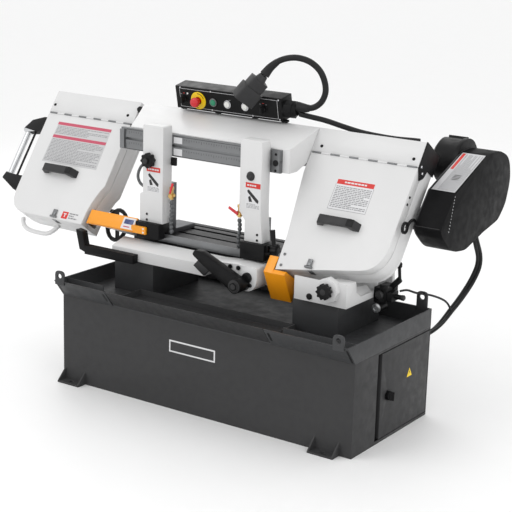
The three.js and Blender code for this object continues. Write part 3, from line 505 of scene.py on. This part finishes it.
def right_cover_details():
    piano_hinge("right", 158, 534, "right_door")
    screws("right_strip_screws", LIDS, [(184, 777), (514, 779)], "head")
    screws("right_lid_screws", LIDS, [(197.5, 400), (198, 363)], "right_door", "steel", 0.1, 0.9)
    corners = [(283, 678), (419, 678), (419, 574), (283, 574)]
    plate("warning_label", LIDS, corners[::-1], 0.1, 0.4, "label", "right_door")
    plate("warning_header", LIDS, rectangle(285, 417, 660, 676), 0.4, 0.6, "red_ink", "right_door")
    text_rows("warning_title", LIDS, [(312, 673), (392, 673), (392, 663), (312, 663)], 1, "label",
              "right_door", out=0.62, words=(7, 12))
    text_rows("warning_text", LIDS, [(288, 655), (414, 655), (414, 580), (288, 580)], 13, "ink",
              "right_door", fill=0.5)
    plates("warning_frame", LIDS,
           [rectangle(283, 284, 574, 660), rectangle(418, 419, 574, 660), rectangle(283, 419, 574, 575)],
           0.4, 0.55, "ink", "right_door")
    handle_details("right", 270, 527, "right_door")
    latch_details("right", 296, 373, "head", "right_toggle")
    wall = Plane(tuple(LIDS.point(537, 0, 0) / MM), tuple(-LIDS.out), tuple(LIDS.v))
    screws("right_wall_screws", wall, [(14, 658), (14, 634)], "right_door", "plastic", 0.2, 0.8)
    bracket = [(0.5, 842), (2, 752), (30, 722), (50, 740), (60, 770), (104, 770), (104, 842)]
    plate("motor_bracket", wall, bracket[::-1], 0.3, 3.5, "black", "head", bevel=0.6)
    screws("motor_bracket_screws", wall, [(14, 762), (32, 748)], "head", "bright", 3.5, 0.9)
    hook = [(556, 50, 652), (558, 66, 668), (560, 84, 672), (561, 98, 664)]
    hose("case_hook", hook, 5, "black", "head")
    annulus("case_hook_eye", Plane((553, 40, 655), (0, 1, 0), (0, 0, 1)), 0, 0, 12, 19, 0, 7, "plastic",
            "head", 24)


# ---------------------------------------------------------------- guides and rail


def guide_label(side, x, z, body):
    """Red header, two-stroke pictogram and a block of small print on a column."""
    plate(f"{side}_column_header", COLUMN_FRONT, rectangle(x - 28, x + 28, z - 8, z + 8), 0.1, 0.5,
          "red_ink", body)
    text_rows(f"{side}_column_title", COLUMN_FRONT,
              [(x - 22, z + 5), (x + 22, z + 5), (x + 22, z - 5), (x - 22, z - 5)],
              1, "label", body, out=0.52, words=(5, 9))
    plate(f"{side}_column_label", COLUMN_FRONT, rectangle(x - 28, x + 28, z - 76, z - 10), 0.1, 0.3, "label",
          body)
    strokes = [
        [(x - 22, z - 18), (x - 16, z - 14), (x + 22, z - 46), (x + 20, z - 56), (x + 12, z - 52),
         (x - 20, z - 24)],
        [(x - 18, z - 38), (x - 10, z - 34), (x - 4, z - 48), (x - 2, z - 52), (x - 14, z - 54)],
    ]
    plates(f"{side}_column_pictogram", COLUMN_FRONT, [s[::-1] for s in strokes], 0.3, 0.5, "dark_ink", body)
    text_rows(f"{side}_column_print", COLUMN_FRONT,
              [(x - 24, z - 58), (x + 24, z - 58), (x + 24, z - 74), (x - 24, z - 74)],
              4, "ink", body, out=0.32, fill=0.45)


def guide_details():
    guide_label("left", -338, 724, "guide_arm")
    guide_label("right", 59, 727, "head")
    screws("left_column_screws", COLUMN_FRONT, [(-364, 571), (-364, 552)], "guide_arm", size=0.8)
    screws("right_column_screws", COLUMN_FRONT, [(79, 571), (79, 553)], "head", size=0.8)
    turned("right_column_bolt", COLUMN_FRONT, [(49, 756)],
           [(0, 0), (15, 0), (15, 1.5), (11, 3), (10, 10), (8, 12), (0, 12)], "dark_grey_plastic", "head")
    turned("guide_knob_cap", Plane((-353, -71, 754), (1, 0, 0), (0, 0, 1)), [(0, 0)],
           [(0, 0), (9, 0), (9, 2), (7, 3.4), (0, 3.8)], "dark_grey_plastic", "guide_knob")
    rail_scale()
    hose("left_coolant_hose",
         [(-392, -22, 735), (-404, -26, 724), (-414, -28, 704), (-416, -28, 684), (-408, -26, 666),
          (-393, -22, 655)],
         5, "hose", "guide_arm")
    coolant_valve("left", -281, -20, 640, "guide_arm", 1)
    coolant_valve("right", -32, 16, 612, "head", -1)
    hose("right_valve_pipe", [(-32, 16, 630), (-30, 15, 646), (-16, 12, 654), (2, 8, 655), (14, 5.5, 655)],
         3, "brass", "head")
    guard_display()
    turned("guide_lever_cap", Plane((148.6, -30, 530), (0, 1, 0), (0, 0, 1)), [(0, 0)],
           [(0, 0), (8, 0), (8, 0.5), (6, 1.1), (0, 1.1)], "dark_grey_plastic", "guide_lever")


def rail_scale():
    """Engraved marks on both bands of the rail, and the light pad at the zero end."""
    for band, top in {"upper": 829, "lower": 792}.items():
        marks = []
        for i in range(56):
            x = -480 + i * 10
            length = 9 if i % 5 == 0 else 5
            marks.append(rectangle(x - 0.5, x + 0.5, top - length, top))
        plates(f"rail_marks_{band}", RAIL_FRONT, marks, 0.05, 0.25, "dark_ink", "head")
    plates("rail_zero_pads", RAIL_FRONT, [rectangle(-292, -258, 812, 832), rectangle(-292, -258, 772, 794)],
           0.1, 0.4, "label", "head")
    groove = [rectangle(-490, 98, z, z + 1.6) for z in (834, 768.5)]
    plates("rail_edge_grooves", RAIL_FRONT, groove, 0.02, 0.2, "dark_ink", "head")
    end = Plane((0, -5, 0), (1, 0, 0), (0, 0, 1))
    turned("rail_end_screw", end, [(114, 800)], [(0, 0), (10, 0), (10, 2), (7, 4), (0, 4)], "plastic", "head")
    screws("rail_end_pins", end, [(114, 828), (114, 776)], "head", "plastic", 0, 0.8)
    plate("rail_clamp_left", Plane((0, 3, 0), (1, 0, 0), (0, 0, 1)), rectangle(-297, -277, 738, 765), 0, 9,
          "black", "guide_arm", bevel=1)


def coolant_valve(side, x, y, z, body, turn):
    """Brass ball valve with a red lever and a jointed drop hose."""
    front = Plane((x, y, z), (1, 0, 0), (0, 0, 1))
    turned(f"{side}_valve_body", front, [(0, 0)],
           [(0, -9), (9, -9), (9, -4), (11, -4), (11, 4), (8, 4), (8, 9), (0, 9)], "brass", body, 16)
    top = Plane((x, y, z + 8), (1, 0, 0), (0, 1, 0))
    turned(f"{side}_valve_neck", top, [(0, 0)], [(0, -20), (6, -20), (6, 14), (8, 14), (8, 22), (0, 22)],
           "brass", body, 12)
    lever = [(-3, 10), (4, 8), (14 * turn + 2, 44), (14 * turn - 6, 46)]
    if turn < 0:
        lever = [(-2, -4), (2, 6), (-34, 22), (-38, 14)]
    plate(f"{side}_valve_lever", front, lever, 9.2, 12.5, "red", body, bevel=1)

    def beads(bm):
        for i in range(8):
            place = Plane((x + 2 * math.sin(i), y, z - 22 - i * 14), (1, 0, 0), (0, 1, 0))
            lathe(bm, place, 0, 0, [(0, -8), (4, -8), (7, -3), (7, 2), (5, 6), (0, 6)], 12)

    piece(f"{side}_coolant_nozzle", beads, "hose", body)


def guard_display():
    """Digital read-out and fixing screws on the left guard."""
    face = Plane(tuple(LIDS.point(0, 0, -8) / MM), (1, 0, 0), tuple(LIDS.v))
    plate("readout_label", face, rectangle(-459, -407, 380, 421), 0.1, 0.6, "label", "guide_arm")
    plate("readout_window", face, rectangle(-452, -414, 398, 415), 0.6, 1.2, "display", "guide_arm",
          bevel=0.3)
    plate("readout_bar", face, rectangle(-450, -424, 386, 390), 0.6, 0.8, "pink_ink", "guide_arm")
    tab = Plane((0, -68, 0), (1, 0, 0), (0, 0, 1))
    screws("guard_tab_screws", tab, [(-362, 523), (-362, 511)], "guide_arm", "cap", 0, 0.7)
    plate("left_guard_lip", face, [(-606, 374), (-404, 374), (-404, 377), (-606, 377)], -6, 0, "orange",
          "guide_arm")


# ---------------------------------------------------------------- bed, base and levers


def bed_details():
    plate("swivel_pointer_block", BED_FRONT, [(-118, 452), (-98, 474), (-50, 452), (-76, 424)][::-1], 0.4, 10,
          "dark_grey_plastic", "stand", bevel=1)
    slope = Plane((0, -105, 459), (1, 0, 0), (0, 67, 18))
    marks = [rectangle(x - 0.4, x + 0.4, 52, 62 if i % 5 else 66) for i, x in enumerate(range(-330, -60, 10))]
    plates("bed_scale", slope, marks, 0.1, 0.25, "ink", "stand")
    turned("bed_end_boss", Plane((-464, -72, 440), (0, -1, 0), (0, 0, 1)), [(0, 0)],
           [(0, 0), (18, 0), (18, 0.2), (0, 0.2)], "white", "stand")
    front = Plane((0, -112, 0), (1, 0, 0), (0, 0, 1))
    turned("segment_bores", front, [(27, 474), (58, 474)],
           [(0, 3.2), (6.4, 3.2), (7.4, 3.2), (7.4, 4.6), (0, 4.6)],
           "plastic", "stand", 20)
    turned("segment_pin", front, [(104, 424)], [(0, 0), (6, 0), (6, 3), (4, 4.5), (0, 4.5)], "plastic",
           "stand", 16)
    turned("segment_clamp_boss", front, [(92, 448)], [(0, 0), (17, 0), (17, 8), (13, 13), (0, 13)], "black",
           "stand", 24)
    hub = Plane((78, -172, 428), (1, 0, 0), (0, 0, 1))
    turned("lever_hub_rings", hub, [(0, 0)],
           [(0, -7.5), (21, -7.5), (21, -5.5), (16, -4.5), (16, -2), (9, -2), (9, 0.6), (0, 0.6)],
           "dark_grey_plastic", "lever")


def base_details():
    front = Plane((0, -105, 0), (1, 0, 0), (0, 0, 1))
    turned("base_plug", front, [(318, 428)], [(0, 0), (10, 0), (10, 3), (7, 6), (0, 6)], "plastic", "stand",
           20)
    knob = Plane((387, -143, 462), (1, 0, 0), (0, 0, 1))
    turned("boss_knob_cap", knob, [(0, 0)], [(0, -15), (9.5, -15), (9.5, 0.4), (7, 1.2), (0, 1.2)],
           "dark_grey_plastic", "base_knob", 20)
    side = Plane((449, 0, 0), (0, 1, 0), (0, 0, 1))
    turned("base_side_plug", side, [(120, 424)], [(0, 0), (6, 0), (6, 0.2), (0, 0.2)], "plastic", "stand", 12)
    turned("valve_dial", Plane((470, 62, 424), (1, 0, 0), (0, 0, 1)), [(0, 0)],
           [(0, 0), (14, 0), (14, 5), (10, 9), (0, 9)], "dark_grey_plastic", "stand", 20)
    turned("valve_fitting", Plane((468, 50, 384), (1, 0, 0), (0, 0, 1)), [(0, 0)],
           [(0, 0.2), (15, 0.2), (15, 3), (9, 5), (9, 3), (0, 3)], "aluminium", "stand", 20)
    turned("valve_knob", Plane((530, 96, 418), (0, 1, 0), (0, 0, 1)), [(0, 0)],
           [(0, 0), (9, 0), (9, 7), (6, 10), (0, 10)], "dark_grey_plastic", "stand", 16)
    turned("valve_lever_knob", Plane((508, 110, 519), (1, 0, 0), (0, 1, 0)), [(0, 0)],
           [(0, -8), (6, -8), (9, -4), (9, 2), (6, 6), (0, 7)], "plastic", "stand", 16)
    free_hose("valve_hose", VALVE_HOSE, 3.5, "stand")


VALVE_HOSE = [
    (506, 128, 428), (514, 160, 425), (527, 200, 409), (548, 262, 391), (560, 335, 358), (561, 376, 321),
    (560, 371, 302), (556, 310, 283), (552, 250, 275),
]


def free_hose(name, points, radius, body):
    """A thin line hanging free between two places on one body."""
    line = hose(name, points, radius, "rubber", body)


# ---------------------------------------------------------------- drive


def drive_details():
    label = rectangle(4, 84, 6, 226)
    plate("case_label", CASE_SLOPE, label, 0.1, 0.5, "silver_label", "head")
    plate("case_label_header", CASE_SLOPE, rectangle(8, 18, 128, 222), 0.5, 0.7, "red_ink", "head")
    lines = Plane(tuple(CASE_SLOPE.point(0, 0) / MM), tuple(CASE_SLOPE.v), tuple(-CASE_SLOPE.u))
    text_rows("case_label_text", lines, [(10, -22), (218, -22), (218, -81), (10, -81)], 12, "ink", "head",
              out=0.55, fill=0.5)
    plates("case_label_symbol", lines, [rectangle(72 + 8 * i, 75 + 8 * i, -62, -38) for i in range(4)], 0.6,
           0.75, "dark_ink", "head")
    front = Plane((560, 93, 0), (1, 0, 0), (0, 0, 1))
    plate("case_seam", front, rectangle(3, 84, 652, 654), -2.5, -1.2, "dark_grey_plastic", "head")
    face = Plane((650, 0, 0), (0, 1, 0), (0, 0, 1))
    dots = [(176 - 2.6 * i, 742 - 9.5 * i) for i in range(12)]
    plates("case_edge_vents", face, [rectangle(y - 1.2, y + 1.2, z - 2.6, z + 1.2) for y, z in dots], -0.4,
           0.05, "label", "head")


CONTROLS = {"power": -367, "stop": -308, "start": -247, "feed": -189, "jog": -118, "speed": -46}
CONTROL_ROW = 35


def relief_radius(t):
    """Radius of a strain relief, in metres, from its wide end at t = 0 to its narrow end at t = 1."""
    return 0.0165 - 0.0055 * t


def control_panel():
    left, right, low, high = -385, 10, 7, 71
    border = 1.2
    bars = [
        rectangle(left, right, low, low + border), rectangle(left, right, high - border, high),
        rectangle(left, left + border, low, high), rectangle(right - border, right, low, high),
    ]
    plates("panel_border", PANEL, bars, 0.1, 0.4, "silver_label", "head")
    plate("panel_sheet", PANEL, rectangle(left + border, right - border, low + border, high - border), 0.05,
          0.25, "black", "head")
    screws("panel_screws", PANEL,
           [(left + 4, high + 2), (left + 130, high), (left + 130, low), (right - 100, low),
            (right + 5, high + 1), (right + 5, low - 1)],
           "head", "bright", 0.3, 0.6)
    annulus("stop_ring", PANEL, CONTROLS["stop"], CONTROL_ROW, 13, 30, 0.3, 3.4, "yellow", "head", 48)
    arcs = []
    for start in (0.35, math.pi + 0.35):
        angles = [start + 0.14 * k for k in range(10)]
        outer = [(CONTROLS["stop"] + 26 * math.cos(a), CONTROL_ROW + 26 * math.sin(a)) for a in angles]
        inner = [
            (CONTROLS["stop"] + 23.4 * math.cos(a), CONTROL_ROW + 23.4 * math.sin(a))
            for a in reversed(angles)
        ]
        arcs.append(outer + inner)
    plates("stop_ring_arrows", PANEL, arcs, 3.4, 3.6, "dark_ink", "head")
    for name in ("start", "feed", "jog"):
        annulus(f"{name}_bezel", PANEL, CONTROLS[name], CONTROL_ROW, 10.7, 14.2, 0.3, 4.2,
                "bright" if name != "start" else "steel", "head", 32)
    for name in ("power", "speed"):
        x = CONTROLS[name]
        annulus(f"{name}_bezel", PANEL, x, CONTROL_ROW, 12.6, 16, 0.3, 2.2, "plastic", "head", 32)
        for mark, angle in (("a", 2.2), ("b", 1.57), ("c", 0.94)):
            u = x + 20 * math.cos(angle)
            v = CONTROL_ROW + 20 * math.sin(angle)
            finish = "red_ink" if mark == "b" else "ink"
            plate(f"{name}_mark_{mark}", PANEL, rectangle(u - 3, u + 3, v - 1, v + 1), 0.3, 0.45, finish,
                  "head")
    turned("pilot_lamp", PANEL, [(-352, 55)], [(0, 0.2), (3, 0.2), (3, 1.4), (2, 2.4), (0, 2.8)], "cap",
           "head", 16)
    plate("panel_symbol_a", PANEL, rectangle(-184, -176, 49, 51), 0.3, 0.42, "ink", "head")
    route = [Vector(p) * MM for p in LEAD_ROUTE]
    start = [(0.069, 0.185, 0.951), route[1], (0.110, 0.1894, 0.9508)]
    piece("lead_relief", lambda bm: sweep(bm, start, 0.01, 16, relief_radius), "rubber", "head")
    piece("plug_relief", lambda bm: sweep(bm, route[:-4:-1], 0.01, 16, relief_radius), "rubber", "head")


# ---------------------------------------------------------------- beam, cabinet and tray


def lift_handle_finish():
    """Bright bar, black rod and dark end brackets of the lifting handle."""
    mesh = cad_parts["lift_handle"].data
    mesh.materials.append(MATERIALS["plastic"])
    low, high, rod_left = 500, 692, -1042
    for face in mesh.polygons:
        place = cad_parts["lift_handle"].matrix_world @ face.center
        local = (place - LIDS.origin) / MM
        v = local.dot(LIDS.v)
        dark = not low < v < high or local.x > rod_left
        face.material_index = 1 if dark else 0


def beam_details():
    turned("beam_bolts", LIDS, [(-567, 811), (129, 802)],
           [(0, -2), (13, -2), (13, 2), (10.5, 2), (10.5, 10), (9.4, 11), (0, 11)], "plastic", "head", 6)


def cabinet_details():
    plate("maker_plate", CABINET_FRONT, rectangle(-118, 62, 193, 233), 0.2, 1.0, "label", "stand", bevel=0.3)
    plate("maker_plate_field", CABINET_FRONT, rectangle(-113, 57, 198, 228), 1.0, 1.2, "grey", "stand")
    plate("door_warning", RIGHT_END, [(88, 168), (120, 168), (104, 196)], 1.1, 1.4, "yellow", "door")
    plate("door_warning_bolt", RIGHT_END,
          [(101, 172), (106, 180), (103, 180), (107, 190), (102, 183), (105, 183)], 1.4, 1.55,
          "dark_ink", "door")
    lip = Plane((0, -235, 297.3), (1, 0, 0), (0, -46, 59.7))
    slots = [rectangle(-368, -360, 22, 60), rectangle(276, 284, 22, 60)]
    plates("lip_slots", lip, slots, 0.1, 0.35, "plastic", "stand")
    corner = [rectangle(-561, -556, 8, 66), rectangle(553, 560, 4, 62)]
    plates("lip_corner_folds", lip, corner, 0.1, 0.4, "plastic", "stand")


SUPPLY_ROUTE = [
    (600, 430, 594), (600, 433, 572), (600, 458, 530), (599, 484, 488), (595, 495, 455), (588, 494, 425),
    (576, 478, 385), (565, 437, 344), (558, 388, 313), (549, 338, 280), (538, 296, 260), (526, 266, 251),
    (523, 238, 250),
]


def strands(bm, route, radius, offset, twist, sides=10):
    """Two lines lying side by side along a route, winding slowly round each other."""
    path = smooth_path([Vector(p) * MM for p in route], 4)
    for phase in (0.0, math.pi):
        line = []
        for i, here in enumerate(path):
            tangent = (path[min(i + 1, len(path) - 1)] - path[max(i - 1, 0)]).normalized()
            across = tangent.cross(Vector((1, 0, 0))).normalized()
            other = tangent.cross(across)
            angle = phase + twist * i / len(path)
            line.append(here + (across * math.cos(angle) + other * math.sin(angle)) * offset * MM)
        sweep(bm, line, radius * MM, sides)


def supply_cable():
    """The drive's two lines, hanging from the belt case to the cabinet."""
    bm = bmesh.new()
    strands(bm, SUPPLY_ROUTE, 6.5, 5.2, 2.6)
    bmesh.ops.recalc_face_normals(bm, faces=bm.faces)
    mesh = bpy.data.meshes.new("drive_lines")
    bm.to_mesh(mesh)
    bm.free()
    mesh.shade_smooth()
    mesh.materials.append(MATERIALS["rubber"])
    lines = bpy.data.objects.new("drive_lines", mesh)
    bpy.context.scene.collection.objects.link(lines)
    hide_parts("supply_cable")
    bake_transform(lines)


LEAD_ROUTE = [
    (71.3, 185, 951), (98, 187, 949), (126, 193, 955), (149, 199, 975), (161, 200, 1007), (158, 195, 1043),
    (142, 188, 1076), (112, 178, 1100), (76, 166, 1110), (42, 154, 1107), (12, 142, 1094), (-8, 132, 1074),
    (-22.6, 122.7, 1051.3),
]


def power_lead():
    lead = piece("mains_lead", lambda bm: sweep(bm, [Vector(p) * MM for p in LEAD_ROUTE], 10 * MM, 16),
                 "rubber", "head")
    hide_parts("power_lead")


# ---------------------------------------------------------------- stage


FLOOR_HALF = 40


def studio():
    scene = bpy.context.scene
    scene.view_settings.view_transform = "Standard"
    floor_material = surface("floor", (0.93, 0.93, 0.93), 0.55, shade=0.004, grain=60, bump=0.01)
    bm = bmesh.new()
    for x, y in ((-1, -1), (1, -1), (1, 1), (-1, 1)):
        bm.verts.new((x * FLOOR_HALF, y * FLOOR_HALF, 0))
    bm.faces.new(bm.verts)
    mesh = bpy.data.meshes.new("studio_floor")
    bm.to_mesh(mesh)
    bm.free()
    floor = bpy.data.objects.new("studio_floor", mesh)
    mesh.materials.append(floor_material)
    scene.collection.objects.link(floor)

    world = bpy.data.worlds.new("studio")
    scene.world = world
    world.use_nodes = True
    background = world.node_tree.nodes["Background"]
    background.inputs["Color"].default_value = (1, 1, 1, 1)
    background.inputs["Strength"].default_value = 1.0

    def softbox(name, place, aim, size, power):
        data = bpy.data.lights.new(name, "AREA")
        data.shape = "RECTANGLE"
        data.size = size[0]
        data.size_y = size[1]
        data.energy = power
        lamp = bpy.data.objects.new(name, data)
        scene.collection.objects.link(lamp)
        lamp.location = place
        lamp.rotation_euler = (Vector(aim) - Vector(place)).to_track_quat("-Z", "Y").to_euler()

    softbox("key", (-1.6, -2.8, 3.6), (0, 0, 0.5), (2.6, 2.6), 34)
    softbox("fill", (3.4, -0.6, 2.2), (0, 0, 0.5), (2.4, 2.4), 14)
    softbox("rim", (-2.4, 2.2, 2.8), (0, 0, 0.6), (2.0, 2.0), 16)


CAMERA_PLACE = (2.5376, -3.6998, 1.6745)
CAMERA_TURN = (-33.95, 14.90, 1.62)
SENSOR = 36
LENS = 101.233125


def camera():
    """Long lens, three-quarter view from the front right and above."""
    yaw, pitch, roll = (math.radians(angle) for angle in CAMERA_TURN)
    forward = Vector((math.sin(yaw) * math.cos(pitch), math.cos(yaw) * math.cos(pitch), -math.sin(pitch)))
    level = Vector((math.cos(yaw), -math.sin(yaw), 0))
    above = level.cross(forward)
    right = level * math.cos(roll) + above * math.sin(roll)
    up = above * math.cos(roll) - level * math.sin(roll)
    data = bpy.data.cameras.new("camera")
    data.sensor_width = SENSOR
    data.lens = LENS
    data.clip_end = 50
    obj = bpy.data.objects.new("camera", data)
    turn = Matrix((right, up, -forward)).transposed().to_4x4()
    obj.matrix_world = Matrix.Translation(CAMERA_PLACE) @ turn
    bpy.context.scene.collection.objects.link(obj)
    bpy.context.scene.camera = obj


camera()
power_lead()
left_cover_details()
right_cover_details()
guide_details()
bed_details()
base_details()
drive_details()
control_panel()
beam_details()
cabinet_details()
supply_cable()
lift_handle_finish()
studio()
